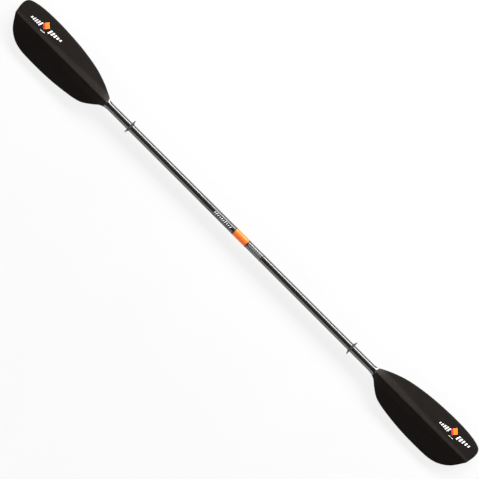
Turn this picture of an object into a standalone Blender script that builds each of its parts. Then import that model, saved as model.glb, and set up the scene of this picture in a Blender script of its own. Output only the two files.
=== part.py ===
"""Two-piece touring kayak paddle, 2.2 m long, with drip rings and a snap-button ferrule.

The shaft lies along X with its middle at the origin. The power faces of the blades look up (+Z)
and the longer edge of each blade is on the +Y side. Dimensions are in millimetres, scaled by MM.
"""

import math

import bmesh
import bpy
from mathutils import Matrix, Vector

for stray in list(bpy.data.objects):
    bpy.data.objects.remove(stray, do_unlink=True)

MM = 0.001
GAP = 0.3            # clearance left between pieces that touch

# shaft
SHAFT_R = 14.5
SHAFT_BORE_R = 13.1
SHAFT_END_X = 704.0  # how far the tube runs into the blade socket
PARTING_X = 101.0    # middle of the seal between the two halves
SEAL_WIDTH = 2.4

# ferrule
SOCKET_R, SOCKET_BORE_R = 12.85, 11.6
SOCKET_INNER_X = -42.0
SPIGOT_R, SPIGOT_BORE_R = 11.35, 9.9
SPIGOT_INNER_X = -32.0
SPIGOT_ROOT_X = 190.0
BAND_HALF = 29.0
BAND_R = 14.95
RECESS_R = 14.0
TRIM_WIDTH, TRIM_R = 3.5, 15.2

# snap button, on the underside, drawn held in so that the ferrule is free to turn and slide
BUTTON_X = 62.0
BUTTON_R = 3.8
BUTTON_TOP = 11.0
BUTTON_LENGTH = 9.1
BUTTON_HOLE_R = 4.2
FEATHER_ANGLES = (-60.0, 0.0, 60.0)

# blade
NECK_X = 654.0
NECK_R = 17.6
SOCKET_END_X = 706.0
RIDGE_END_X = 1094.0
FULL_HALF_W = 82.0
EDGE_THICK = 2.0
SPINE_THICK = 2.9
RIM_INSET = 1.0
LAND_Z = -17.0       # flat land on the back of the blade socket
LAND_X = (664.0, 712.0)
STATIONS = 36
RIB_COLUMNS, WING_COLUMNS = 5, 5
LONG_EDGE = [
    (NECK_X, NECK_R), (667, 25.6), (708, 44.2), (763, 61.2), (842, 74), (928, 80),
    (997, 80.4), (1048, 76.5), (1084, 67.5), (1097, 55), (1100, 33), (RIDGE_END_X, 0),
]
SHORT_EDGE = [
    (NECK_X, NECK_R), (667, 24), (687, 40.5), (722, 62.2), (777, 74), (859, 82.2),
    (945, 83.5), (997, 80), (1034, 67.5), (1066, 42.5), (RIDGE_END_X, 0),
]
RIDGE_Z = [(NECK_X, NECK_R), (706, 17.6), (770, 12.5), (850, 8.5), (950, 7.2), (RIDGE_END_X, 7)]
FACE_SLOPE = [(NECK_X, 0.30), (700, 0.20), (850, 0.185), (RIDGE_END_X, 0.17)]
CREST_STEEPER = 1.5  # the strip beside the ridge is this much steeper than the rest of the face
CREST_HALF_W = [(NECK_X, 26), (720, 25), (850, 18), (1000, 12.5), (RIDGE_END_X, 10)]
BACK_ROUND_TO_X = 700.0
SPINE_BACK_Z = [(NECK_X, -NECK_R), (710, -17.6), (770, -10), (850, -2.5), (950, 3.5),
                (RIDGE_END_X, 5)]
SPINE_HALF_W = [(NECK_X, 29), (710, 29), (790, 19), (950, 13), (1100, 10)]

# drip rings
DRIP_X = 536.0
DRIP_R = 27.7

SEGMENTS = 40


def material(name, colour, rough, metal=0.0):
    mat = bpy.data.materials.new(name)
    mat.use_nodes = True
    shader = mat.node_tree.nodes["Principled BSDF"]
    shader.inputs["Base Color"].default_value = (*colour, 1.0)
    shader.inputs["Roughness"].default_value = rough
    shader.inputs["Metallic"].default_value = metal
    return mat


def finish(name, bm, mat, at=(0.0, 0.0, 0.0)):
    """Close up a mesh given in millimetres and make it the node `name`, with its origin at `at`."""
    bmesh.ops.remove_doubles(bm, verts=bm.verts, dist=0.001)
    bmesh.ops.recalc_face_normals(bm, faces=bm.faces)
    bmesh.ops.translate(bm, verts=bm.verts, vec=-Vector(at))
    bmesh.ops.scale(bm, verts=bm.verts, vec=(MM, MM, MM))
    mesh = bpy.data.meshes.new(name)
    bm.to_mesh(mesh)
    bm.free()
    node = bpy.data.objects.new(name, mesh)
    node.location = Vector(at) * MM
    mesh.materials.append(mat)
    bpy.context.scene.collection.objects.link(node)
    return node


def lathe(profile, closed, turn=None, segments=SEGMENTS, phase=0.0):
    """Spin (x, r) points about X. A closed profile makes a ring, an open one ends on the axis."""
    bm = bmesh.new()
    rings = []
    for x, r in profile:
        if r == 0:
            rings.append([bm.verts.new((x, 0, 0))] * segments)
            continue
        angles = [2 * math.pi * (k + phase) / segments for k in range(segments)]
        rings.append([bm.verts.new((x, r * math.cos(a), r * math.sin(a))) for a in angles])
    pairs = list(zip(rings, rings[1:] + rings[:1])) if closed else list(zip(rings, rings[1:]))
    for one, two in pairs:
        for k in range(segments):
            corners = [one[k], one[(k + 1) % segments], two[(k + 1) % segments], two[k]]
            bm.faces.new(list(dict.fromkeys(corners)))
    if turn is not None:
        bmesh.ops.transform(bm, matrix=turn, verts=bm.verts)
    return bm


def tube(name, x0, x1, outer, inner, mat, chamfer=0.3, side=1):
    """A plain tube along X with small chamfers on its outer corners."""
    profile = [(x0, inner), (x0, outer - chamfer), (x0 + chamfer, outer),
               (x1 - chamfer, outer), (x1, outer - chamfer), (x1, inner)]
    return finish(name, lathe([(side * x, r) for x, r in profile], True), mat)


def plug(name, x0, x1, r, mat, side=1):
    """A solid round plug along X with rounded corners."""
    profile = [(x0, 0), (x0, r - 1.2), (x0 + 0.4, r - 0.3), (x0 + 1.2, r),
               (x1 - 1.2, r), (x1 - 0.4, r - 0.3), (x1, r - 1.2), (x1, 0)]
    return finish(name, lathe([(side * x, r) for x, r in profile], False), mat)


def cut(node, cutters):
    """Subtract each cutter, which stays in the file as a hidden wire object."""
    for cutter in cutters:
        cutter.hide_render = True
        cutter.display_type = "WIRE"
        mod = node.modifiers.new("cut_" + cutter.name, "BOOLEAN")
        mod.operation = "DIFFERENCE"
        mod.solver = "EXACT"
        mod.object = cutter


def radial_hole(name, r, angle, mat):
    """A cylinder through one wall of the ferrule, `angle` degrees round from the underside."""
    bm = lathe([(8, 0), (8, r), (20, r), (20, 0)], False, segments=32)
    down = Matrix.Rotation(math.radians(90), 4, "Y")
    about_x = Matrix.Rotation(math.radians(angle), 4, "X")
    place = Matrix.Translation((BUTTON_X, 0, 0)) @ about_x @ down
    bmesh.ops.transform(bm, matrix=place, verts=bm.verts)
    return finish(name, bm, mat)


def smooth(a, b, x):
    t = min(max((x - a) / (b - a), 0.0), 1.0)
    return t * t * (3 - 2 * t)


def along(points, x):
    """A smooth curve through (x, value) points, with no overshoot between them."""
    if x <= points[0][0]:
        return points[0][1]
    for k in range(len(points) - 1):
        (x0, v0), (x1, v1) = points[k], points[k + 1]
        if x <= x1:
            break
    else:
        return points[-1][1]
    grade = (v1 - v0) / (x1 - x0)

    def slope_at(n):
        if n in (0, len(points) - 1):
            return grade
        (xa, va), (xb, vb), (xc, vc) = points[n - 1:n + 2]
        before, after = (vb - va) / (xb - xa), (vc - vb) / (xc - xb)
        return 0.0 if before * after <= 0 else 2 * before * after / (before + after)

    m0, m1, h = slope_at(k), slope_at(k + 1), x1 - x0
    t = (x - x0) / h
    return ((2 * t**3 - 3 * t**2 + 1) * v0 + (t**3 - 2 * t**2 + t) * h * m0
            + (3 * t**2 - 2 * t**3) * v1 + (t**3 - t**2) * h * m1)


def even_outline(points, count):
    """count + 1 points evenly spaced along a smooth curve through `points`."""
    ends = [points[0]] + points + [points[-1]]
    dense = []
    for a, b, c, d in zip(ends, ends[1:], ends[2:], ends[3:]):
        for k in range(24):
            t = k / 24
            dense.append(tuple(
                0.5 * (2 * q + (r - p) * t + (2 * p - 5 * q + 4 * r - s) * t**2
                       + (3 * q - p - 3 * r + s) * t**3)
                for p, q, r, s in zip(a, b, c, d)))
    dense.append(points[-1])
    run = [0.0]
    for p, q in zip(dense, dense[1:]):
        run.append(run[-1] + math.dist(p, q))
    out, k = [], 0
    for n in range(count + 1):
        want = run[-1] * n / count
        while k < len(run) - 2 and run[k + 1] < want:
            k += 1
        t = (want - run[k]) / (run[k + 1] - run[k])
        out.append(tuple(p + (q - p) * t for p, q in zip(dense[k], dense[k + 1])))
    return out


def face_z(x, d):
    """Height of the power face at a distance d from the spine."""
    crest = min(d, along(CREST_HALF_W, x))
    return along(RIDGE_Z, x) - along(FACE_SLOPE, x) * (d + (CREST_STEEPER - 1) * crest)


def back_z(x, d):
    """Height of the back of the blade, where a rounded spine fades out towards the tip."""
    thick = EDGE_THICK + (SPINE_THICK - EDGE_THICK) * (1 - min(d / FULL_HALF_W, 1))
    wing = face_z(x, d) - thick
    spine = min(along(SPINE_BACK_Z, x), along(RIDGE_Z, x) - SPINE_THICK)
    rib = (1 - min(d / along(SPINE_HALF_W, x), 1) ** 2) ** 1.4
    return wing * (1 - rib) + spine * rib


def blade_row(edge, spine_x):
    """One row of the blade from its spine to its edge: [(x, distance from spine, top z, back z)]."""
    edge_x, half_w = edge
    spread = smooth(NECK_X, BACK_ROUND_TO_X, spine_x)
    foot = min(along(SPINE_HALF_W, spine_x) / max(half_w, 1e-6), 0.75)
    columns = RIB_COLUMNS + WING_COLUMNS
    row = []
    for k in range(columns + 1):
        out = max(k - RIB_COLUMNS, 0) / WING_COLUMNS
        across = foot * min(k / RIB_COLUMNS, 1) + (1 - foot) * out
        f = (1 - spread) * math.sin(math.pi / 2 * k / columns) + spread * across
        x, d = spine_x + (edge_x - spine_x) * f, half_w * f
        socket = -NECK_R * math.sqrt(max(1 - f * f, 0))
        row.append((x, d, face_z(x, d), (1 - spread) * socket + spread * back_z(x, d)))
    return row


def blade(name, side, mat, cutter_mat):
    """A dihedral blade: two shallow slopes meet on a ridge in line with the shaft."""
    bm = bmesh.new()
    for hand, outline in ((1, LONG_EDGE), (-1, SHORT_EDGE)):
        rows = []
        for n, edge in enumerate(even_outline(outline, STATIONS)):
            spine_x = NECK_X + (RIDGE_END_X - NECK_X) * n / STATIONS
            row = blade_row(edge, spine_x)
            x, d, top, back = row[-1]
            inset = min(RIM_INSET, 0.5 * d)
            mid = (top + back) / 2
            lean = (x - spine_x) / d if d > 1 else 0.0
            row[-1] = (x - inset * lean, d - inset, top, back)
            loop = [(p[0], p[1], p[2]) for p in row] + [(x, d, mid)]
            loop += [(p[0], p[1], p[3]) for p in reversed(row)]
            rows.append([bm.verts.new((side * p[0], hand * p[1], p[2])) for p in loop])
        for one, two in zip(rows, rows[1:]):
            for k in range(len(one) - 1):
                bm.faces.new((one[k], one[k + 1], two[k + 1], two[k]))
    bmesh.ops.remove_doubles(bm, verts=bm.verts, dist=0.01)
    bmesh.ops.dissolve_degenerate(bm, dist=0.01, edges=bm.edges)
    rim = [e for e in bm.edges if len(e.link_faces) == 1]
    bmesh.ops.holes_fill(bm, edges=rim, sides=0)
    node = finish(name, bm, mat)
    bore = [(NECK_X - 5, 0), (NECK_X - 5, SHAFT_R + GAP), (SOCKET_END_X, SHAFT_R + GAP),
            (SOCKET_END_X, 0)]
    bore_cutter = finish(name + "_bore", lathe([(side * x, r) for x, r in bore], False),
                         cutter_mat)
    bm = bmesh.new()
    bmesh.ops.create_cube(bm, size=1.0)
    middle = Vector((side * sum(LAND_X) / 2, 0, LAND_Z - 5))
    bmesh.ops.scale(bm, verts=bm.verts, vec=(LAND_X[1] - LAND_X[0], 16, 10))
    bmesh.ops.translate(bm, verts=bm.verts, vec=middle)
    cut(node, [bore_cutter, finish(name + "_land", bm, cutter_mat)])
    return node


def drip_ring(name, side, mat):
    """A rubber ring: a short hub on the shaft and a thin flange cupped towards the blade."""
    bore = SHAFT_R + GAP
    profile = [(-3.5, bore), (-3.5, 16.6), (-2.9, 17.4), (-1.6, 18.2), (-0.2, 22.5),
               (1.4, 26.6), (1.9, 27.5), (2.6, DRIP_R), (3.2, 27.4), (3.3, 26.8), (2.7, 23.0),
               (2.5, 19.2), (3.4, 18.0), (3.9, 17.2), (3.9, bore)]
    shifted = [(side * (DRIP_X + x), r) for x, r in profile]
    bm = lathe(shifted, True, phase=0.5)
    return finish(name, bm, mat, at=(side * DRIP_X, 0, 0))


def neck_collar(name, side, mat):
    """The glossy flared collar between the shaft and the blade."""
    bore = SHAFT_R + GAP
    end = NECK_X - GAP
    profile = [(638.5, bore), (638.5, 15.1), (639.2, 15.4), (643.5, 15.6), (647.5, 16.1),
               (650.8, 16.9), (end - 0.4, NECK_R), (end, NECK_R - 0.2), (end, bore)]
    return finish(name, lathe([(side * x, r) for x, r in profile], True), mat)


carbon = material("wound_carbon", (0.012, 0.012, 0.013), 0.18)
moulded = material("carbon_filled_nylon", (0.022, 0.021, 0.022), 0.5)
gloss = material("gloss_black_nylon", (0.010, 0.010, 0.010), 0.15)
rubber = material("dark_rubber", (0.035, 0.030, 0.028), 0.6)
orange = material("orange_sleeve", (0.90, 0.26, 0.02), 0.35)
seal_mat = material("red_brown_seal", (0.085, 0.028, 0.018), 0.5)
glass = material("grey_glass_nylon", (0.10, 0.10, 0.095), 0.45)
trim_mat = material("black_trim", (0.02, 0.02, 0.02), 0.5)
foam = material("closed_cell_foam", (0.62, 0.60, 0.55), 0.9)
steel = material("spring_steel", (0.55, 0.55, 0.56), 0.3, 1.0)
button_mat = material("steel_button", (0.60, 0.60, 0.61), 0.22, 1.0)
cap_mat = material("black_plug", (0.03, 0.03, 0.03), 0.5)
socket_mat = material("socket_liner", (0.13, 0.12, 0.10), 0.5)
cutter_mat = material("cutter", (1.0, 0.0, 1.0), 0.5)

# the left half: its tube runs past the middle to the parting line and is recessed for the band
recess = BAND_HALF + 2 * GAP + TRIM_WIDTH + GAP
left_end = PARTING_X - SEAL_WIDTH / 2 - GAP
tube_profile = [
    (-SHAFT_END_X, SHAFT_BORE_R), (-SHAFT_END_X, SHAFT_R - 0.3), (-SHAFT_END_X + 0.3, SHAFT_R),
    (-recess, SHAFT_R), (-recess, RECESS_R), (recess, RECESS_R), (recess, SHAFT_R),
    (left_end - 0.3, SHAFT_R), (left_end, SHAFT_R - 0.3), (left_end, SHAFT_BORE_R),
]
left_shaft = finish("left_shaft", lathe(tube_profile, True), carbon)
ferrule_socket = tube("ferrule_socket", SOCKET_INNER_X, left_end, SOCKET_R, SOCKET_BORE_R,
                      socket_mat)
holes = [radial_hole("feather_hole_%d" % n, BUTTON_HOLE_R, angle, cutter_mat)
         for n, angle in enumerate(FEATHER_ANGLES)]
cut(left_shaft, holes)
cut(ferrule_socket, holes)
tube("ferrule_band", -BAND_HALF, BAND_HALF, BAND_R, RECESS_R + GAP, orange, 0.25)
for name, side in (("band_trim_left", -1), ("band_trim_right", 1)):
    tube(name, BAND_HALF + GAP, BAND_HALF + GAP + TRIM_WIDTH, TRIM_R, RECESS_R + GAP,
         trim_mat, 0.4, side)
plug("socket_plug", 50, 72, SHAFT_BORE_R - GAP, foam, -1)

# the seal that is nipped between the two halves
low, high = PARTING_X - SEAL_WIDTH / 2, PARTING_X + SEAL_WIDTH / 2
seal_profile = [(low, SPIGOT_R + GAP), (low, 14.7), (low + 0.4, 15.3), (PARTING_X, 15.5),
                (high - 0.4, 15.3), (high, 14.7), (high, SPIGOT_R + GAP)]
finish("seal_ring", lathe(seal_profile, True), seal_mat)

# the right half
right_start = PARTING_X + SEAL_WIDTH / 2 + GAP
tube("right_shaft", right_start, SHAFT_END_X, SHAFT_R, SHAFT_BORE_R, carbon)
spigot_profile = [
    (SPIGOT_INNER_X, SPIGOT_BORE_R), (SPIGOT_INNER_X, SPIGOT_R - 0.8),
    (SPIGOT_INNER_X + 1.6, SPIGOT_R), (right_start, SPIGOT_R), (right_start, SOCKET_R),
    (SPIGOT_ROOT_X - 0.6, SOCKET_R), (SPIGOT_ROOT_X, SOCKET_R - 0.6),
    (SPIGOT_ROOT_X, SPIGOT_BORE_R),
]
male_ferrule = finish("male_ferrule", lathe(spigot_profile, True), glass)
cut(male_ferrule, [radial_hole("button_hole", BUTTON_HOLE_R, 0, cutter_mat)])
cap_x = SPIGOT_INNER_X - GAP
cap_profile = [(cap_x - 2.2, 0), (cap_x - 2.2, 9.6), (cap_x - 1.2, 10.9), (cap_x, 11.1),
               (cap_x, SPIGOT_BORE_R - GAP), (cap_x + 13, SPIGOT_BORE_R - GAP),
               (cap_x + 14, SPIGOT_BORE_R - 1.2), (cap_x + 14, 0)]
finish("spigot_cap", lathe(cap_profile, False), cap_mat)

# snap button: a domed pin with a flange that stops it inside the spigot
base = BUTTON_TOP - BUTTON_LENGTH
button_profile = [(base, 0), (base, 4.6), (base + 0.3, 4.8), (base + 1.1, 4.8), (base + 1.1, BUTTON_R),
                  (BUTTON_TOP - 1.6, BUTTON_R), (BUTTON_TOP - 0.7, 3.3),
                  (BUTTON_TOP - 0.15, 1.9), (BUTTON_TOP, 0)]
downwards = Matrix.Translation((BUTTON_X, 0, 0)) @ Matrix.Rotation(math.radians(90), 4, "Y")
finish("snap_button", lathe(button_profile, False, downwards, 32), button_mat,
       at=(BUTTON_X, 0, -BUTTON_TOP))

# leaf spring, squeezed: a V of strip, its lower leg under the button, its upper leg on the spigot
leaf = [(55, -1.3), (71, -1.3), (92, -1.0), (99, -0.5), (101, 0.8), (99, 2.4), (60, 8.2),
        (54, 8.4)]
LEAF_T, LEAF_HALF_W = 0.6, 3.2
bm = bmesh.new()
sides = []
for n, (x, z) in enumerate(leaf):
    before, after = Vector(leaf[max(n - 1, 0)]), Vector(leaf[min(n + 1, len(leaf) - 1)])
    run = (after - before).normalized()
    off = Vector((-run.y, run.x)) * LEAF_T / 2
    ring = [(x + s * off.x, y, z + s * off.y)
            for s, y in ((1, -LEAF_HALF_W), (1, LEAF_HALF_W), (-1, LEAF_HALF_W), (-1, -LEAF_HALF_W))]
    sides.append([bm.verts.new(p) for p in ring])
for one, two in zip(sides, sides[1:]):
    for k in range(4):
        bm.faces.new((one[k], one[(k + 1) % 4], two[(k + 1) % 4], two[k]))
bm.faces.new(sides[0])
bm.faces.new(sides[-1])
finish("button_leaf", bm, steel)

# pieces that both halves have
for hand, side in (("left", -1), ("right", 1)):
    blade(hand + "_blade", side, moulded, cutter_mat)
    neck_collar(hand + "_neck_collar", side, gloss)
    drip_ring(hand + "_drip_ring", side, rubber)
    plug(hand + "_end_plug", 664, 700, SHAFT_BORE_R - GAP, foam, side)
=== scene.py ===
"""Looks of a two-piece touring kayak paddle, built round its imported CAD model.

The shaft lies along X with its middle at the origin, the power faces of the blades look up (+Z),
and the longer edge of each blade is on the +Y side. Sizes are in millimetres, scaled by MM.
"""

import math

import bmesh
import bpy
from mathutils import Matrix, Vector
from mathutils.bvhtree import BVHTree


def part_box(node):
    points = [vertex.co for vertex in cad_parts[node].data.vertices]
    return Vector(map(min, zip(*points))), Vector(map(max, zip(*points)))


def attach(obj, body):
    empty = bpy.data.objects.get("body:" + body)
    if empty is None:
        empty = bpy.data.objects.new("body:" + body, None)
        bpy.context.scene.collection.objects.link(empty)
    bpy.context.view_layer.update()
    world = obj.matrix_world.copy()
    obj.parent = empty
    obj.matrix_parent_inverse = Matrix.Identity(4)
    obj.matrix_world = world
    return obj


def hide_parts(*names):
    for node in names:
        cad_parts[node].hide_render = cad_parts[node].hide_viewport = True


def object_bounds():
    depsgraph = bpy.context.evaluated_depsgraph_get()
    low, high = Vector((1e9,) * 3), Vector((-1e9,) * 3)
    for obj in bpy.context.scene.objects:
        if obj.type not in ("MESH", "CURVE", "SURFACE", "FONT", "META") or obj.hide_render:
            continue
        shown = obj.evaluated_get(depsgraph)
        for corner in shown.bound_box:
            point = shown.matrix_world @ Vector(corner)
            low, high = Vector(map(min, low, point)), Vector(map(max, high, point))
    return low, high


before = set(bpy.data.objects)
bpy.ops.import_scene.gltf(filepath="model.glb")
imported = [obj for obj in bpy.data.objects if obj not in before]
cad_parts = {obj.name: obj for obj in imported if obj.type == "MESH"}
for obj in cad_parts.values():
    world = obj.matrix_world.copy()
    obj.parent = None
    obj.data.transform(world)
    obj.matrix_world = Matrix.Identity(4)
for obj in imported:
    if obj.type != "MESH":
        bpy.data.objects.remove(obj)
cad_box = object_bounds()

MM = 0.001
SEGMENTS = 128       # facets round the shaft and everything on it
CORNER = 0.25        # usual radius on a turned corner
CORNER_STEPS = 4
CURVE_STEPS = 48     # points between two given points of the blade's outline
HOLE_SEGMENTS = 48
MERGE, BLADE_MERGE = 0.002, 0.01    # points of a mesh nearer than this become one
SMOOTH_ANGLE = 32.0  # edges sharper than this stay sharp, in degrees

# blade, measured along and across the shaft from its middle
STATIONS, COLUMNS, RIM_STEPS = 150, 26, 6    # rows along it, steps across, steps round its rim
RIDGE_END_X = 1094.0
BACK_ROUND_TO_X = 700.0                      # where the round socket has become the blade
FULL_HALF_W = 82.0                           # half width at which it is down to EDGE_THICK
EDGE_THICK, SPINE_THICK = 2.0, 2.9
RIM_INSET = 1.0
RIDGE_ROUND = 1.1
CREST_STEEPER, CREST_SOFT = 1.5, 3.0
LAND_Z, LAND_X, LAND_WIDE = -17.0, (664.0, 712.0), 16.0    # flat under the socket
LAND_CUT = 10.0                              # depth of the cutter that makes the flat
NECK_X, NECK_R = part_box("right_blade")[0].x / MM, 17.6
SOCKET_END_X = 706.0
LONG_EDGE = [
    (NECK_X, NECK_R), (667, 25.6), (708, 44.2), (763, 61.2), (842, 74), (928, 80),
    (997, 80.4), (1048, 76.5), (1084, 67.5), (1097, 55), (1100, 33), (RIDGE_END_X, 0),
]
SHORT_EDGE = [
    (NECK_X, NECK_R), (667, 24), (687, 40.5), (722, 62.2), (777, 74), (859, 82.2),
    (945, 83.5), (997, 80), (1034, 67.5), (1066, 42.5), (RIDGE_END_X, 0),
]
RIDGE_Z = [(NECK_X, NECK_R), (706, 17.6), (770, 12.5), (850, 8.5), (950, 7.2), (RIDGE_END_X, 7)]
FACE_SLOPE = [(NECK_X, 0.30), (700, 0.20), (850, 0.185), (RIDGE_END_X, 0.17)]
CREST_HALF_W = [(NECK_X, 26), (720, 25), (850, 18), (1000, 12.5), (RIDGE_END_X, 10)]
SPINE_BACK_Z = [(NECK_X, -NECK_R), (710, -17.6), (770, -10), (850, -2.5), (950, 3.5),
                (RIDGE_END_X, 5)]
SPINE_HALF_W = [(NECK_X, 29), (710, 29), (790, 19), (950, 13), (1100, 10)]

# the shaft's winding: tows round the tube, and the radius at which they run at 45 degrees to it
TOWS_ROUND, WOUND_R = 16.0, 14.5

# bores and hidden radii of the turned pieces
SHAFT_BORE_R = 13.1
RECESS_R = 14.0
SOCKET_BORE_R = 11.6
SPIGOT_R, SPIGOT_BORE_R = 11.35, 9.9
BUTTON_X, BUTTON_HOLE_R = 62.0, 4.2
HOLE_CUT_R = (8, 20)         # the cutter of a hole reaches from inside the walls to outside
FEATHER_ANGLES = (-60.0, 0.0, 60.0)
GAP = 0.3

# printed marks
INK_LIFT, INK_SINK = 0.07, 0.10
BLADE_MARK_TURN = 5.0
BLADE_MARKS = {"left": (-979.5, 36.0), "right": (997.5, 41.5)}
LABEL_X = (-190.0, -33.0)    # the satin length of the shaft, beside the band
PRINTED_BARS, PRINTED_TICKS = 5, 19

# camera, straight above the paddle with the shaft running down the picture's diagonal
VIEW_WIDTH = 1645.2
CAMERA_AT = (1.9, -8.7)
CAMERA_TURN = 45.0
LENS, SENSOR = 200.0, 36.0


# ---------------------------------------------------------------- meshes

def smooth(a, b, x):
    t = min(max((x - a) / (b - a), 0.0), 1.0)
    return t * t * (3 - 2 * t)


def along(points, x):
    """A smooth curve through (x, value) points, with no overshoot between them."""
    if x <= points[0][0]:
        return points[0][1]
    for k in range(len(points) - 1):
        (x0, v0), (x1, v1) = points[k], points[k + 1]
        if x <= x1:
            break
    else:
        return points[-1][1]
    grade = (v1 - v0) / (x1 - x0)

    def slope_at(n):
        if n in (0, len(points) - 1):
            return grade
        (xa, va), (xb, vb), (xc, vc) = points[n - 1:n + 2]
        before, after = (vb - va) / (xb - xa), (vc - vb) / (xc - xb)
        return 0.0 if before * after <= 0 else 2 * before * after / (before + after)

    m0, m1, h = slope_at(k), slope_at(k + 1), x1 - x0
    t = (x - x0) / h
    return ((2 * t**3 - 3 * t**2 + 1) * v0 + (t**3 - 2 * t**2 + t) * h * m0
            + (3 * t**2 - 2 * t**3) * v1 + (t**3 - t**2) * h * m1)


def even_outline(points, count):
    """count + 1 points evenly spaced along a smooth curve through `points`."""
    ends = [points[0]] + points + [points[-1]]
    dense = []
    for a, b, c, d in zip(ends, ends[1:], ends[2:], ends[3:]):
        for k in range(CURVE_STEPS):
            t = k / CURVE_STEPS
            dense.append(tuple(
                0.5 * (2 * q + (r - p) * t + (2 * p - 5 * q + 4 * r - s) * t**2
                       + (3 * q - p - 3 * r + s) * t**3)
                for p, q, r, s in zip(a, b, c, d)))
    dense.append(points[-1])
    run = [0.0]
    for p, q in zip(dense, dense[1:]):
        run.append(run[-1] + math.dist(p, q))
    out, k = [], 0
    for n in range(count + 1):
        want = run[-1] * n / count
        while k < len(run) - 2 and run[k + 1] < want:
            k += 1
        t = (want - run[k]) / (run[k + 1] - run[k])
        out.append(tuple(p + (q - p) * t for p, q in zip(dense[k], dense[k + 1])))
    return out


def piece(name, bm, mat, body, replaces=()):
    """Turn a mesh given in millimetres into a piece that rides on `body` and stands for CAD nodes."""
    bmesh.ops.remove_doubles(bm, verts=bm.verts, dist=MERGE)
    bmesh.ops.recalc_face_normals(bm, faces=bm.faces)
    bmesh.ops.scale(bm, verts=bm.verts, vec=(MM, MM, MM))
    mesh = bpy.data.meshes.new(name)
    bm.to_mesh(mesh)
    bm.free()
    mesh.materials.append(mat)
    made = bpy.data.objects.new(name, mesh)
    bpy.context.scene.collection.objects.link(made)
    shade(made)
    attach(made, body)
    if replaces:
        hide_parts(*replaces)
    return made


def shade(made):
    made.data.shade_smooth()
    made.data.set_sharp_from_angle(angle=math.radians(SMOOTH_ANGLE))


def rounded(profile, closed, radius=CORNER):
    """The profile with each corner rounded. A point may carry its own radius as a third number."""
    out = []
    for n, point in enumerate(profile):
        here = Vector(point[:2])
        if not closed and n in (0, len(profile) - 1):
            out.append(tuple(here))
            continue
        before = Vector(profile[n - 1][:2]) - here
        after = Vector(profile[(n + 1) % len(profile)][:2]) - here
        r = point[2] if len(point) > 2 else radius
        r = min(r, 0.45 * before.length, 0.45 * after.length)
        if r < 0.01:
            out.append(tuple(here))
            continue
        start, end = here + before.normalized() * r, here + after.normalized() * r
        for k in range(CORNER_STEPS + 1):
            t = k / CORNER_STEPS
            out.append(tuple((1 - t)**2 * start + 2 * t * (1 - t) * here + t**2 * end))
    return out


def lathe(profile, closed=True, segments=SEGMENTS, turn=None):
    """Spin (x, r) points about X. A closed profile makes a ring, an open one ends on the axis."""
    bm = bmesh.new()
    rings = []
    for x, r in profile:
        if r == 0:
            rings.append([bm.verts.new((x, 0, 0))] * segments)
            continue
        angles = [2 * math.pi * k / segments for k in range(segments)]
        rings.append([bm.verts.new((x, r * math.cos(a), r * math.sin(a))) for a in angles])
    pairs = list(zip(rings, rings[1:] + rings[:1])) if closed else list(zip(rings, rings[1:]))
    for one, two in pairs:
        for k in range(segments):
            corners = [one[k], one[(k + 1) % segments], two[(k + 1) % segments], two[k]]
            bm.faces.new(list(dict.fromkeys(corners)))
    if turn is not None:
        bmesh.ops.transform(bm, matrix=turn, verts=bm.verts)
    return bm


def ring(name, profile, mat, body, radius=CORNER):
    """A turned ring or tube, which stands for the CAD node it is named after."""
    return piece(name, lathe(rounded(profile, True, radius)), mat, body,
                 [name.removesuffix("_skin")])


def turned(name, profile, mat, body, radius=CORNER, turn=None, segments=SEGMENTS):
    """A solid turned piece whose profile starts and ends on the axis."""
    bm = lathe(rounded(profile, False, radius), False, segments, turn)
    return piece(name, bm, mat, body, [name.removesuffix("_skin")])


def cut(made, cutter_meshes):
    """Subtract closed meshes, given in millimetres, from a piece."""
    cutters = []
    for bm in cutter_meshes:
        bmesh.ops.recalc_face_normals(bm, faces=bm.faces)
        bmesh.ops.scale(bm, verts=bm.verts, vec=(MM, MM, MM))
        mesh = bpy.data.meshes.new("cutter")
        bm.to_mesh(mesh)
        bm.free()
        cutter = bpy.data.objects.new("cutter", mesh)
        bpy.context.scene.collection.objects.link(cutter)
        cutters.append(cutter)
        step = made.modifiers.new("cut", "BOOLEAN")
        step.operation, step.solver, step.object = "DIFFERENCE", "EXACT", cutter
    graph = bpy.context.evaluated_depsgraph_get()
    done = bpy.data.meshes.new_from_object(made.evaluated_get(graph))
    made.modifiers.clear()
    made.data = done
    for cutter in cutters:
        bpy.data.objects.remove(cutter, do_unlink=True)
    shade(made)


def span(node):
    """Start, end and outer radius of a round CAD node, in millimetres."""
    low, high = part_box(node)
    return low.x / MM, high.x / MM, high.z / MM


def radial_hole(angle):
    """A cutter through one wall of the ferrule, `angle` degrees round from the underside."""
    down = Matrix.Rotation(math.radians(90), 4, "Y")
    about_x = Matrix.Rotation(math.radians(angle), 4, "X")
    place = Matrix.Translation((BUTTON_X, 0, 0)) @ about_x @ down
    inner, outer = HOLE_CUT_R
    profile = [(inner, 0), (inner, BUTTON_HOLE_R), (outer, BUTTON_HOLE_R), (outer, 0)]
    return lathe(profile, False, HOLE_SEGMENTS, place)


# ---------------------------------------------------------------- materials

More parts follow.
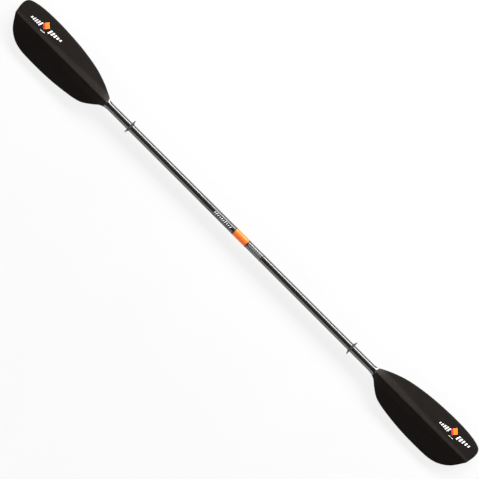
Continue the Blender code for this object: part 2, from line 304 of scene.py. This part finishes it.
class Graph:
    """Short names for the shader nodes that the materials are made of."""

    def __init__(self, name, colour, rough, metal=0.0, **sockets):
        self.mat = bpy.data.materials.new(name)
        self.mat.use_nodes = True
        self.tree = self.mat.node_tree
        self.shader = self.tree.nodes["Principled BSDF"]
        self.put("Base Color", (*colour, 1.0))
        self.put("Roughness", rough)
        self.put("Metallic", metal)
        for key, value in sockets.items():
            self.put(key.replace("_", " "), value)
        where = self.tree.nodes.new("ShaderNodeTexCoord")
        self.at = where.outputs["Object"]

    def put(self, socket, value):
        if isinstance(value, bpy.types.NodeSocket):
            self.tree.links.new(value, self.shader.inputs[socket])
        else:
            self.shader.inputs[socket].default_value = value

    def node(self, kind, inputs, **settings):
        made = self.tree.nodes.new("ShaderNode" + kind)
        for key, value in settings.items():
            setattr(made, key, value)
        for key, value in inputs.items():
            if isinstance(value, bpy.types.NodeSocket):
                self.tree.links.new(value, made.inputs[key])
            else:
                made.inputs[key].default_value = value
        return made

    def math(self, operation, a, b=0.0):
        return self.node("Math", {0: a, 1: b}, operation=operation).outputs[0]

    def axes(self, vector):
        return self.node("SeparateXYZ", {0: vector}).outputs

    def vector(self, x, y, z):
        return self.node("CombineXYZ", {0: x, 1: y, 2: z}).outputs[0]

    def stretched(self, x, y, z):
        """Object coordinates in millimetres, divided by a grain size in each direction."""
        return self.node("VectorMath", {0: self.at, 1: (1 / MM / x, 1 / MM / y, 1 / MM / z)},
                         operation="MULTIPLY").outputs[0]

    def noise(self, vector, detail=3.0, rough=0.5):
        return self.node("TexNoise", {"Vector": vector, "Scale": 1.0, "Detail": detail,
                                      "Roughness": rough}).outputs[0]

    def band(self, value, low, high, out_low=0.0, out_high=1.0):
        """value from low to high becomes out_low to out_high, and holds beyond."""
        return self.node("MapRange", {0: value, 1: low, 2: high, 3: out_low, 4: out_high},
                         clamp=True).outputs[0]

    def mix(self, share, one, two):
        made = self.node("Mix", {0: share}, data_type="RGBA")
        for key, value in ((6, one), (7, two)):
            if isinstance(value, bpy.types.NodeSocket):
                self.tree.links.new(value, made.inputs[key])
            else:
                made.inputs[key].default_value = (*value, 1.0)
        return made.outputs[2]

    def bump(self, height, depth_mm, strength=1.0, socket="Normal"):
        """Relief of depth_mm where height goes from 0 to 1."""
        made = self.node("Bump", {"Height": height, "Strength": strength, "Distance": depth_mm * MM})
        self.put(socket, made.outputs[0])


def wound_carbon():
    """Braided tows under clear resin: two sets of helices, each at 45 degrees to the axis.

    The part that carries the white bars is satin.
    """
    g = Graph("wound_carbon", (0.012, 0.012, 0.012), 0.3, Coat_Weight=1.0, Coat_Roughness=0.035,
              Coat_IOR=1.5)
    x, y, z = g.axes(g.at)
    turns = g.math("DIVIDE", g.math("ARCTAN2", z, y), 2 * math.pi)
    around = g.math("MULTIPLY", turns, TOWS_ROUND)
    ahead = g.math("MULTIPLY", x, TOWS_ROUND / (2 * math.pi * WOUND_R * MM))
    one = g.math("ADD", ahead, around)
    two = g.math("SUBTRACT", ahead, around)
    cells = g.math("ADD", g.math("FLOOR", one), g.math("FLOOR", two))
    over = g.math("FLOORED_MODULO", cells, 2.0)
    across = g.node("Mix", {0: over, 2: g.math("FRACT", one), 3: g.math("FRACT", two)}).outputs[0]
    length = g.node("Mix", {0: over, 2: two, 3: one}).outputs[0]
    crown = g.math("SINE", g.math("MULTIPLY", across, math.pi))
    fibres = g.noise(g.vector(g.math("MULTIPLY", across, 14.0), g.math("MULTIPLY", length, 1.2), over))
    patches = g.noise(g.stretched(46, 18, 18), 2.0)
    # The crowns of the tows of one set are painted lighter, broken up by the fibre noise and the
    # patches: a painted sheen where the fibres would catch the light.
    streak = g.math("MULTIPLY", g.band(fibres, 0.42, 0.72), g.math("MULTIPLY", crown, over))
    painted_tow_sheen = g.math("MULTIPLY", streak, g.band(patches, 0.35, 0.65, 0.35, 1.0))
    g.put("Base Color", g.mix(painted_tow_sheen, (0.0090, 0.0075, 0.0065), (0.060, 0.053, 0.047)))
    g.put("Roughness", g.band(fibres, 0.3, 0.7, 0.24, 0.42))
    start, end = LABEL_X
    begun = g.band(x, start * MM, (start + 4) * MM)
    going = g.band(x, (end - 1) * MM, end * MM, 1.0, 0.0)
    label = g.math("MULTIPLY", begun, going)
    g.put("Coat Roughness", g.band(label, 0.0, 1.0, 0.035, 0.20))
    g.put("Coat Weight", g.band(label, 0.0, 1.0, 1.0, 0.55))
    g.bump(g.math("ADD", crown, g.math("MULTIPLY", fibres, 0.35)), 0.06, 0.5)
    g.bump(g.noise(g.stretched(9, 5, 5), 2.0), 0.05, 0.35, "Coat Normal")
    return g.mat


def moulded_nylon():
    """Short-fibre nylon from a spark-eroded mould: fine grain, and flow streaks along the blade."""
    g = Graph("moulded_nylon", (0.003, 0.0025, 0.0022), 0.45, Specular_IOR_Level=0.25,
              Specular_Tint=(1.0, 0.85, 0.76, 1.0))
    flow = g.noise(g.stretched(60, 11, 11), 4.0, 0.6)
    flecks = g.noise(g.stretched(5.0, 0.7, 0.7), 2.0, 0.6)
    clouds = g.noise(g.stretched(26, 26, 26), 3.0)
    light = g.math("MULTIPLY", g.band(flecks, 0.56, 0.74), g.band(flow, 0.3, 0.7, 0.3, 1.0))
    g.put("Base Color", g.mix(light, (0.0022, 0.0017, 0.0015), (0.0095, 0.0078, 0.0068)))
    worn = g.math("ADD", g.math("MULTIPLY", flow, 0.10), g.math("MULTIPLY", clouds, 0.06))
    g.put("Roughness", g.math("ADD", worn, 0.37))
    grain = g.noise(g.stretched(0.9, 0.9, 0.9), 2.0)
    g.bump(g.math("ADD", grain, g.math("MULTIPLY", flecks, 0.5)), 0.03, 0.5)
    return g.mat


def gloss_nylon():
    """Polished black nylon with faint polishing rings round the axis."""
    g = Graph("gloss_nylon", (0.008, 0.008, 0.008), 0.16, Coat_Weight=1.0, Coat_Roughness=0.05)
    rings = g.noise(g.stretched(0.35, 14, 14), 2.0)
    smear = g.noise(g.stretched(7, 5, 5), 3.0)
    g.put("Roughness", g.band(smear, 0.3, 0.7, 0.12, 0.24))
    g.put("Base Color", g.mix(smear, (0.006, 0.006, 0.006), (0.013, 0.012, 0.012)))
    g.bump(rings, 0.01, 0.3)
    return g.mat


def rubber():
    """Soft rubber with fine grain and a little dried dust."""
    g = Graph("drip_ring_rubber", (0.03, 0.026, 0.025), 0.62)
    dust = g.noise(g.stretched(6, 6, 6), 4.0, 0.65)
    grain = g.noise(g.stretched(0.5, 0.5, 0.5), 2.0)
    g.put("Base Color", g.mix(g.band(dust, 0.45, 0.8), (0.026, 0.022, 0.022), (0.075, 0.066, 0.062)))
    g.put("Roughness", g.band(dust, 0.3, 0.7, 0.52, 0.78))
    g.bump(grain, 0.03, 0.5)
    return g.mat


def orange_wrap():
    """Printed orange film, satin, with a soft orange peel and a slight drift in its ink."""
    # The faint orange emission is a painted glow: it lifts the band's shaded side, which the lamps
    # alone would leave darker.
    g = Graph("orange_wrap", (0.95, 0.20, 0.012), 0.40, Coat_Weight=0.12, Coat_Roughness=0.12,
              Specular_IOR_Level=0.35, Emission_Color=(1.0, 0.16, 0.01, 1.0), Emission_Strength=0.08)
    drift = g.noise(g.stretched(22, 9, 9), 3.0)
    scuff = g.noise(g.stretched(1.0, 5.0, 5.0), 4.0, 0.6)
    g.put("Base Color", g.mix(drift, (0.86, 0.125, 0.009), (0.93, 0.175, 0.012)))
    g.put("Roughness", g.band(scuff, 0.35, 0.75, 0.32, 0.50))
    g.bump(g.noise(g.stretched(1.6, 1.6, 1.6), 2.0), 0.02, 0.3)
    return g.mat


def seal_rubber():
    g = Graph("seal_rubber", (0.085, 0.028, 0.018), 0.5)
    tint = g.noise(g.stretched(3, 3, 3), 3.0)
    g.put("Base Color", g.mix(tint, (0.070, 0.022, 0.014), (0.115, 0.040, 0.026)))
    g.put("Roughness", g.band(tint, 0.3, 0.7, 0.38, 0.55))
    g.bump(g.noise(g.stretched(0.4, 0.4, 0.4), 2.0), 0.02, 0.4)
    return g.mat


def glass_nylon():
    """Grey glass-filled nylon: pale fibre ends show in a mottled ground."""
    g = Graph("glass_nylon", (0.10, 0.10, 0.095), 0.45)
    fibres = g.noise(g.stretched(3.2, 0.45, 0.45), 3.0, 0.6)
    mottle = g.noise(g.stretched(8, 8, 8), 3.0)
    share = g.math("MULTIPLY", g.band(fibres, 0.5, 0.75), g.band(mottle, 0.3, 0.7, 0.4, 1.0))
    g.put("Base Color", g.mix(share, (0.085, 0.085, 0.080), (0.21, 0.21, 0.195)))
    g.put("Roughness", g.band(fibres, 0.3, 0.7, 0.38, 0.56))
    g.bump(fibres, 0.03, 0.5)
    return g.mat


def black_nylon():
    """Plain black moulded nylon with a fine grain."""
    g = Graph("black_nylon", (0.014, 0.013, 0.013), 0.5)
    smear = g.noise(g.stretched(5, 5, 5), 4.0, 0.6)
    g.put("Base Color", g.mix(smear, (0.010, 0.009, 0.009), (0.024, 0.022, 0.022)))
    g.put("Roughness", g.band(smear, 0.3, 0.7, 0.38, 0.60))
    g.bump(g.noise(g.stretched(0.35, 0.35, 0.35), 2.0), 0.02, 0.5)
    return g.mat


def foam():
    """Closed-cell foam: small rounded cells, some of them open at the skin."""
    g = Graph("foam", (0.62, 0.60, 0.55), 0.9)
    cells = g.node("TexVoronoi", {"Vector": g.stretched(1.1, 1.1, 1.1), "Scale": 1.0})
    depth = g.band(cells.outputs["Distance"], 0.0, 0.6)
    # The cells are painted darker at their bottoms, where the bump is lowest: painted shade in the
    # hollows.
    g.put("Base Color", g.mix(depth, (0.50, 0.48, 0.43), (0.66, 0.64, 0.59)))
    g.put("Roughness", g.band(depth, 0.0, 1.0, 0.95, 0.82))
    g.bump(depth, 0.25, 0.6)
    return g.mat


def brushed_steel(name, tone, rough, lines):
    """Steel with fine brushing marks, `lines` millimetres apart across the grain."""
    g = Graph(name, (tone, tone, tone), rough, 1.0)
    marks = g.noise(g.stretched(9, lines, lines), 3.0, 0.6)
    dull = g.noise(g.stretched(4, 4, 4), 3.0)
    g.put("Base Color", g.mix(dull, (tone * 0.86,) * 3, (tone, tone, tone * 1.01)))
    g.put("Roughness", g.band(marks, 0.3, 0.7, rough * 0.75, rough * 1.35))
    g.bump(marks, 0.008, 0.4)
    return g.mat


def liner():
    """Turned glass-cloth laminate: cloth threads show as a fine tan check with turning marks."""
    g = Graph("socket_laminate", (0.13, 0.12, 0.10), 0.5)
    x, y, z = g.axes(g.stretched(1.5, 1.5, 1.5))
    warp = g.math("SINE", g.math("MULTIPLY", x, 2 * math.pi))
    weft = g.math("SINE", g.math("MULTIPLY", g.math("ARCTAN2", z, y), 48.0))
    cloth = g.band(g.math("MULTIPLY", warp, weft), -1.0, 1.0)
    g.put("Base Color", g.mix(cloth, (0.105, 0.095, 0.075), (0.19, 0.175, 0.145)))
    g.put("Roughness", g.band(cloth, 0.0, 1.0, 0.42, 0.58))
    g.bump(g.noise(g.stretched(0.3, 30, 30), 2.0), 0.02, 0.4)
    return g.mat


def ink(name, colour, worn):
    """Screen-printed ink, thin in small specks where the grain of the ground comes through."""
    rough = 0.4
    g = Graph(name, colour, rough)
    specks = g.noise(g.stretched(0.8, 0.8, 0.8), 4.0, 0.65)
    share = g.band(specks, 0.60, 0.78)
    g.put("Base Color", g.mix(share, colour, tuple(c * worn for c in colour)))
    g.put("Roughness", g.band(specks, 0.3, 0.7, rough - 0.06, rough + 0.12))
    g.bump(specks, 0.012, 0.4)
    return g.mat


carbon = wound_carbon()
nylon = moulded_nylon()
gloss = gloss_nylon()
ring_rubber = rubber()
orange = orange_wrap()
seal_mat = seal_rubber()
glass = glass_nylon()
black = black_nylon()
foam_mat = foam()
leaf_steel = brushed_steel("leaf_steel", 0.52, 0.34, 0.25)
button_steel = brushed_steel("button_steel", 0.62, 0.20, 0.6)
liner_mat = liner()
white_ink = ink("white_ink", (0.86, 0.87, 0.88), 0.55)
grey_ink = ink("grey_ink", (0.33, 0.34, 0.35), 0.5)
orange_ink = ink("orange_ink", (0.93, 0.22, 0.015), 0.7)
red_ink = ink("red_ink", (0.80, 0.022, 0.012), 0.7)


# ---------------------------------------------------------------- blades

def face_z(x, d):
    """Height of the power face at a distance d from the spine.

    A strip beside the ridge is steeper than the rest, and the ridge itself is rounded.
    """
    strip_w = along(CREST_HALF_W, x)

    def strip(g):
        return 0.5 * (g + strip_w - math.hypot(g - strip_w, CREST_SOFT))

    g = math.hypot(d, RIDGE_ROUND) - RIDGE_ROUND
    fall = g + (CREST_STEEPER - 1) * (strip(g) - strip(0.0))
    return along(RIDGE_Z, x) - along(FACE_SLOPE, x) * fall


def back_z(x, d):
    """Height of the back of the blade, where a rounded spine fades out towards the tip."""
    thick = EDGE_THICK + (SPINE_THICK - EDGE_THICK) * (1 - min(d / FULL_HALF_W, 1))
    wing = face_z(x, d) - thick
    spine = min(along(SPINE_BACK_Z, x), along(RIDGE_Z, x) - SPINE_THICK)
    rib = (1 - min(d / along(SPINE_HALF_W, x), 1) ** 2) ** 1.4
    return wing * (1 - rib) + spine * rib


def blade_row(edge, spine_x):
    """One row of the blade from its spine to its edge: [(x, distance from spine, top z, back z)]."""
    edge_x, half_w = edge
    spread = smooth(NECK_X, BACK_ROUND_TO_X, spine_x)
    row = []
    for k in range(COLUMNS + 1):
        t = k / COLUMNS
        f = (1 - spread) * math.sin(math.pi / 2 * t) + spread * t**1.5
        x, d = spine_x + (edge_x - spine_x) * f, half_w * f
        socket = -NECK_R * math.sqrt(max(1 - f * f, 0))
        row.append((x, d, face_z(x, d), (1 - spread) * socket + spread * back_z(x, d)))
    return row


def rim_arc(row, spine_x):
    """Points round the blade's rim, from the end of its face to the end of its back."""
    x, d, top, back = row[-1]
    inset = min(RIM_INSET, 0.5 * d)
    lean = (x - spine_x) / d if d > 1 else 0.0
    arc = []
    for k in range(RIM_STEPS + 1):
        turn = math.pi * k / RIM_STEPS
        out = inset * (math.sin(turn) - 1)
        arc.append((x + out * lean, d + out, (top + back) / 2 + (top - back) / 2 * math.cos(turn)))
    return arc


def blade(name, side):
    bm = bmesh.new()
    for hand, outline in ((1, LONG_EDGE), (-1, SHORT_EDGE)):
        rows = []
        for n, edge in enumerate(even_outline(outline, STATIONS)):
            spine_x = NECK_X + (RIDGE_END_X - NECK_X) * n / STATIONS
            row = blade_row(edge, spine_x)
            loop = [p[:3] for p in row[:-1]] + rim_arc(row, spine_x)
            loop += [(p[0], p[1], p[3]) for p in reversed(row[:-1])]
            rows.append([bm.verts.new((side * p[0], hand * p[1], p[2])) for p in loop])
        for one, two in zip(rows, rows[1:]):
            for k in range(len(one) - 1):
                bm.faces.new((one[k], one[k + 1], two[k + 1], two[k]))
    bmesh.ops.remove_doubles(bm, verts=bm.verts, dist=BLADE_MERGE)
    bmesh.ops.dissolve_degenerate(bm, dist=BLADE_MERGE, edges=bm.edges)
    open_rim = [e for e in bm.edges if len(e.link_faces) == 1]
    bmesh.ops.holes_fill(bm, edges=open_rim, sides=0)
    body = side_body(side)
    made = piece(name + "_skin", bm, nylon, body, [name])
    bore_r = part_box(name.split("_")[0] + "_shaft")[1].z / MM + GAP
    bore = [(NECK_X - 5, 0), (NECK_X - 5, bore_r), (SOCKET_END_X, bore_r), (SOCKET_END_X, 0)]
    land = bmesh.new()
    bmesh.ops.create_cube(land, size=1.0)
    bmesh.ops.scale(land, verts=land.verts, vec=(LAND_X[1] - LAND_X[0], LAND_WIDE, LAND_CUT))
    middle = (side * sum(LAND_X) / 2, 0, LAND_Z - LAND_CUT / 2)
    bmesh.ops.translate(land, verts=land.verts, vec=middle)
    cut(made, [lathe([(side * x, r) for x, r in bore], False), land])
    return made


def side_body(side):
    return "right_half" if side > 0 else "left_half"


# ---------------------------------------------------------------- printed marks

def bar(u, v, wide, tall, slant=0.0):
    """Corners of a bar centred on (u, v), its top shifted along by `slant`."""
    return [(u - wide / 2 - slant / 2, v - tall / 2), (u + wide / 2 - slant / 2, v - tall / 2),
            (u + wide / 2 + slant / 2, v + tall / 2), (u - wide / 2 + slant / 2, v + tall / 2)]


def print_marks(name, bars, spot, mat, body, cell=3.0):
    """Thin closed slabs of ink. spot(u, v, lift) is the point on the ground under (u, v)."""
    bm = bmesh.new()
    for corners in bars:
        a, b, c, d = (Vector(p) for p in corners)
        across = max(1, math.ceil(max((b - a).length, (c - d).length) / cell))
        up = max(1, math.ceil(max((d - a).length, (c - b).length) / cell))
        sheets = []
        for lift in (INK_LIFT, -INK_SINK):
            grid = []
            for j in range(up + 1):
                left, right = a.lerp(d, j / up), b.lerp(c, j / up)
                line = [left.lerp(right, i / across) for i in range(across + 1)]
                grid.append([bm.verts.new(spot(p.x, p.y, lift)) for p in line])
            sheets.append(grid)
        top, low = sheets
        for j in range(up):
            for i in range(across):
                bm.faces.new((top[j][i], top[j][i + 1], top[j + 1][i + 1], top[j + 1][i]))
                bm.faces.new((low[j][i], low[j + 1][i], low[j + 1][i + 1], low[j][i + 1]))
        rims = [[row[0] for row in top], [row[-1] for row in top], top[0], top[-1]]
        feet = [[row[0] for row in low], [row[-1] for row in low], low[0], low[-1]]
        for edge, foot in zip(rims, feet):
            for i in range(len(edge) - 1):
                bm.faces.new((edge[i], edge[i + 1], foot[i + 1], foot[i]))
    return piece(name, bm, mat, body)


def blade_spot(made, centre):
    """Maps a mark's own (u, v), in millimetres, onto the power face of a blade."""
    tree = BVHTree.FromObject(made, bpy.context.evaluated_depsgraph_get())
    turn = math.radians(BLADE_MARK_TURN)
    ahead = Vector((math.cos(turn), math.sin(turn)))
    up = Vector((-ahead.y, ahead.x))

    def spot(u, v, lift):
        flat = Vector(centre) + ahead * u + up * v
        hit, normal, _, _ = tree.ray_cast(Vector((flat.x * MM, flat.y * MM, 0.1)), Vector((0, 0, -1)))
        return hit / MM + normal * lift

    return spot


def shaft_spot(r):
    """Maps (x along the shaft, distance round it from the top) onto a round surface."""
    def spot(u, v, lift):
        angle = v / r
        return Vector((u, (r + lift) * math.sin(angle), (r + lift) * math.cos(angle)))
    return spot


def blade_mark(hand, made, side):
    """Slanting white bars that run into an orange and red lozenge, with a short line below."""
    spot = blade_spot(made, BLADE_MARKS[hand])
    body = side_body(side)
    bars = []
    for n in range(PRINTED_BARS):
        tall = 16 - 2.2 * n
        bars.append(bar(-25 - 9.5 * n, -1.5, 5.0, tall, 0.42 * tall))
        bars.append(bar(18 + 11.5 * n, -2.5, 6.2, tall, 0.42 * tall))
    bars.append(bar(-4, -17, 20, 1.7))
    print_marks(hand + "_blade_bars", bars, spot, white_ink, body)
    lozenge = [(-21, 6), (-6, -10), (9, 6), (-6, 22)]
    west, south, east, north = (Vector(p) for p in lozenge)
    split = [west.lerp(north, 0.30), south.lerp(east, 0.30)]
    upper = [split[0], split[1], east, north]
    lower = [west, south, split[1], split[0]]
    print_marks(hand + "_blade_lozenge", [[tuple(p) for p in upper]], spot, orange_ink, body,
                2.5)
    print_marks(hand + "_blade_lozenge_foot", [[tuple(p) for p in lower]], spot, red_ink, body,
                2.5)


def shaft_marks(r):
    """White slanting bars on one side of the band and a fine tick scale on the other."""
    spot = shaft_spot(r)
    tall = [7, 9, 7, 5, 8, 6, 9, 7, 5, 7]
    bars = [bar(-124 + 8.2 * n, -1.5, 3.4, h, 0.5 * h) for n, h in enumerate(tall)]
    print_marks("shaft_bars", bars, spot, white_ink, "left_half", 1.0)
    ticks = []
    for n in range(PRINTED_TICKS):
        ticks.append(bar(37 + 3.2 * n, -0.5, 1.2, 6.5 if n % 3 else 9.5))
    ticks.append(bar(66, -7.6, 60, 1.1))
    print_marks("shaft_ticks", ticks, spot, grey_ink, "left_half", 1.0)


# ---------------------------------------------------------------- turned pieces

def shafts():
    x0, x1, r = span("left_shaft")
    inner = span("band_trim_left")[0] - GAP
    outer = span("band_trim_right")[1] + GAP
    profile = [(x0, SHAFT_BORE_R), (x0, r), (inner, r, 0.1), (inner, RECESS_R), (outer, RECESS_R),
               (outer, r, 0.1), (BUTTON_X - 9, r, 0), (BUTTON_X + 9, r, 0), (x1, r),
               (x1, SHAFT_BORE_R)]
    left = ring("left_shaft_skin", profile, carbon, "left_half")
    cut(left, [radial_hole(a) for a in FEATHER_ANGLES])
    x0, x1, r = span("right_shaft")
    ring("right_shaft_skin", [(x0, SHAFT_BORE_R), (x0, r), (x1, r), (x1, SHAFT_BORE_R)], carbon,
         "right_half")
    return r


def joint_pieces():
    """The sleeve and plug of the take-apart joint, its seal, band and trims."""
    x0, x1, r = span("ferrule_socket")
    lead_in = 0.9
    profile = [(x0, SOCKET_BORE_R), (x0, r), (x1, r), (x1, SOCKET_BORE_R + lead_in),
               (x1 - 1.5, SOCKET_BORE_R)]
    socket = ring("ferrule_socket_skin", profile, liner_mat, "left_half", 0.15)
    cut(socket, [radial_hole(a) for a in FEATHER_ANGLES])

    x0, x1, r = span("male_ferrule")
    shoulder = span("right_shaft")[0]
    profile = [(x0, SPIGOT_BORE_R), (x0, SPIGOT_R - 0.8), (x0 + 1.6, SPIGOT_R, 0.6),
               (shoulder, SPIGOT_R, 0.1), (shoulder, r), (x1, r, 0.6), (x1, SPIGOT_BORE_R)]
    spigot = ring("male_ferrule_skin", profile, glass, "right_half")
    cut(spigot, [radial_hole(0.0)])

    x0, x1, r = span("spigot_cap")
    profile = [(x0, 0), (x0, 8.9), (x0 + 1.0, 10.6, 0.8), (x0 + 2.2, r, 0.15),
               (x0 + 2.2, SPIGOT_BORE_R - GAP), (x1 - 1, SPIGOT_BORE_R - GAP), (x1, 8.7), (x1, 0)]
    turned("spigot_cap_skin", profile, black, "right_half", 0.5)

    x0, x1, r = span("seal_ring")
    profile = [(x0, SPIGOT_R + GAP), (x0, r - 0.7), (x0 + 0.7, r), (x1 - 0.7, r), (x1, r - 0.7),
               (x1, SPIGOT_R + GAP)]
    ring("seal_ring_skin", profile, seal_mat, "seal", 0.4)

    x0, x1, r = span("ferrule_band")
    ring("ferrule_band_skin", [(x0, RECESS_R + GAP), (x0, r), (x1, r), (x1, RECESS_R + GAP)],
         orange, "left_half", 0.2)
    for node in ("band_trim_left", "band_trim_right"):
        x0, x1, r = span(node)
        ring(node + "_skin", [(x0, RECESS_R + GAP), (x0, r), (x1, r), (x1, RECESS_R + GAP)],
             black, "left_half", 0.4)


def snap_button():
    """A domed steel pin on a round flange, pointing straight down."""
    low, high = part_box("snap_button")
    tip, base = -low.z / MM, -high.z / MM
    r = 3.8
    profile = [(base, 0), (base, 4.8, 0.3), (base + 1.1, 4.8, 0.3), (base + 1.1, r, 0.2),
               (tip - 1.8, r, 0.9), (tip - 0.7, 3.2, 0.8), (tip - 0.1, 1.6, 0.8), (tip, 0)]
    turn = Matrix.Translation((BUTTON_X, 0, 0)) @ Matrix.Rotation(math.radians(90), 4, "Y")
    turned("snap_button_skin", profile, button_steel, "button", 0.3, turn, 64)


def roof_r(angle):
    """Radius of the blade's first section: a gable above, square shoulders and a round belly."""
    across, up = abs(math.cos(angle)), math.sin(angle)
    if up <= 0:
        return NECK_R
    pitch = along(FACE_SLOPE, NECK_X) * CREST_STEEPER
    return min(NECK_R / max(across, 1e-6), NECK_R / (up + pitch * across))


def neck_collar(hand, side):
    """The glossy collar, round on the shaft and gabled where it meets the blade."""
    low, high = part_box(hand + "_neck_collar")
    inner, outer = sorted((abs(low.x) / MM, abs(high.x) / MM))
    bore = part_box(hand + "_shaft")[1].z / MM + GAP
    profile = [(inner, bore), (inner, bore + 0.5, 0.2), (inner + 1.6, bore + 0.8, 0.8),
               (inner + 5.0, bore + 1.0, 2.0), (inner + 9.5, bore + 1.6, 2.0),
               (outer - 0.5, NECK_R - 0.15, 0.3), (outer, NECK_R - 0.4, 0.2), (outer, bore)]
    bm = bmesh.new()
    rings = []
    for x, r in rounded(profile, True, 0.5):
        gable = smooth(inner + 1.5, outer, x) if r > bore + 0.01 else 0.0
        angles = [2 * math.pi * k / SEGMENTS for k in range(SEGMENTS)]
        radii = [r * (1 + gable * (roof_r(a) / NECK_R - 1)) for a in angles]
        rings.append([bm.verts.new((side * x, q * math.cos(a), q * math.sin(a)))
                      for q, a in zip(radii, angles)])
    for one, two in zip(rings, rings[1:] + rings[:1]):
        for k in range(SEGMENTS):
            after = (k + 1) % SEGMENTS
            bm.faces.new((one[k], one[after], two[after], two[k]))
    node = hand + "_neck_collar"
    piece(node + "_skin", bm, gloss, side_body(side), [node])


def drip_ring(hand, side):
    """A rubber ring: a beaded hub gripping the shaft and a thin flange cupped to the blade."""
    low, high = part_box(hand + "_drip_ring")
    start = min(abs(low.x), abs(high.x)) / MM
    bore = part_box(hand + "_shaft")[1].z / MM + GAP
    r = high.y / MM
    profile = [(0, bore), (0, 16.4), (0.5, 17.2), (1.3, 17.2), (1.9, 17.7), (3.1, 21.4),
               (4.4, 25.2), (5.0, 26.6), (5.8, r - 0.25), (6.3, r), (6.75, r - 0.35),
               (6.65, r - 1.3), (6.2, 24.8), (5.9, 21.6), (5.85, 19.2), (6.2, 18.1), (6.9, 17.9),
               (7.35, 17.3), (7.35, bore)]
    ring(hand + "_drip_ring_skin", [(side * (start + x), y) for x, y in profile], ring_rubber,
         hand + "_ring", 0.35)


shaft_r = shafts()
joint_pieces()
snap_button()
for hand, side in (("left", -1), ("right", 1)):
    skin = blade(hand + "_blade", side)
    blade_mark(hand, skin, side)
    neck_collar(hand, side)
    drip_ring(hand, side)
shaft_marks(shaft_r)

for node, mat in (("left_end_plug", foam_mat), ("right_end_plug", foam_mat),
                  ("socket_plug", foam_mat), ("button_leaf", leaf_steel)):
    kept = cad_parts[node]
    kept.data.materials[0] = mat
    shade(kept)


# ---------------------------------------------------------------- floor, light and camera

def floor():
    g = Graph("floor", (0.11, 0.11, 0.11), 0.8, Specular_IOR_Level=0.0,
              Emission_Color=(1.0, 1.0, 1.0, 1.0), Emission_Strength=0.84)
    g.put("Base Color", g.mix(g.noise(g.stretched(400, 400, 400), 2.0), (0.10, 0.10, 0.10),
                              (0.12, 0.12, 0.12)))
    bm = bmesh.new()
    bmesh.ops.create_grid(bm, x_segments=1, y_segments=1, size=20.0)
    mesh = bpy.data.meshes.new("floor")
    bm.to_mesh(mesh)
    bm.free()
    mesh.materials.append(g.mat)
    made = bpy.data.objects.new("floor", mesh)
    made.location.z = cad_box[0][2]
    bpy.context.scene.collection.objects.link(made)


def softbox(name, tilt, distance, width, length, strength):
    """A long softbox parallel to the shaft, `tilt` degrees from overhead towards +Y."""
    lamp = bpy.data.lights.new(name, "AREA")
    lamp.shape = "RECTANGLE"
    lamp.size, lamp.size_y = length, width
    lamp.energy = strength * length * width * math.pi
    made = bpy.data.objects.new(name, lamp)
    turn = math.radians(tilt)
    made.location = (0, distance * math.sin(turn), distance * math.cos(turn))
    made.rotation_euler = (-turn, 0, 0)
    bpy.context.scene.collection.objects.link(made)


def sky():
    """A studio that is dark overhead and white towards its walls."""
    world = bpy.data.worlds.new("studio")
    bpy.context.scene.world = world
    world.use_nodes = True
    tree = world.node_tree
    where = tree.nodes.new("ShaderNodeTexCoord")
    split = tree.nodes.new("ShaderNodeSeparateXYZ")
    tree.links.new(where.outputs["Generated"], split.inputs[0])
    ramp = tree.nodes.new("ShaderNodeValToRGB")
    tree.links.new(split.outputs["Z"], ramp.inputs[0])
    stops = ramp.color_ramp.elements
    stops[0].position, stops[0].color = 0.0, (0.9, 0.9, 0.9, 1.0)
    stops[1].position, stops[1].color = 0.40, (0.02, 0.02, 0.02, 1.0)
    middle = stops.new(0.12)
    middle.color = (0.45, 0.45, 0.45, 1.0)
    tree.links.new(ramp.outputs[0], tree.nodes["Background"].inputs[0])


floor()
softbox("key", tilt=61.5, distance=3.2, width=1.05, length=7.0, strength=18.5)
softbox("fill", tilt=-68.0, distance=3.2, width=1.9, length=7.0, strength=2.0)
sky()
bpy.context.scene.view_settings.view_transform = "Standard"

camera_data = bpy.data.cameras.new("camera")
camera_data.lens, camera_data.sensor_width = LENS, SENSOR
camera_data.clip_end = 100.0
camera = bpy.data.objects.new("camera", camera_data)
camera.location = (CAMERA_AT[0] * MM, CAMERA_AT[1] * MM, VIEW_WIDTH * MM * LENS / SENSOR)
camera.rotation_euler = (0, 0, math.radians(CAMERA_TURN))
bpy.context.scene.collection.objects.link(camera)
bpy.context.scene.camera = camera
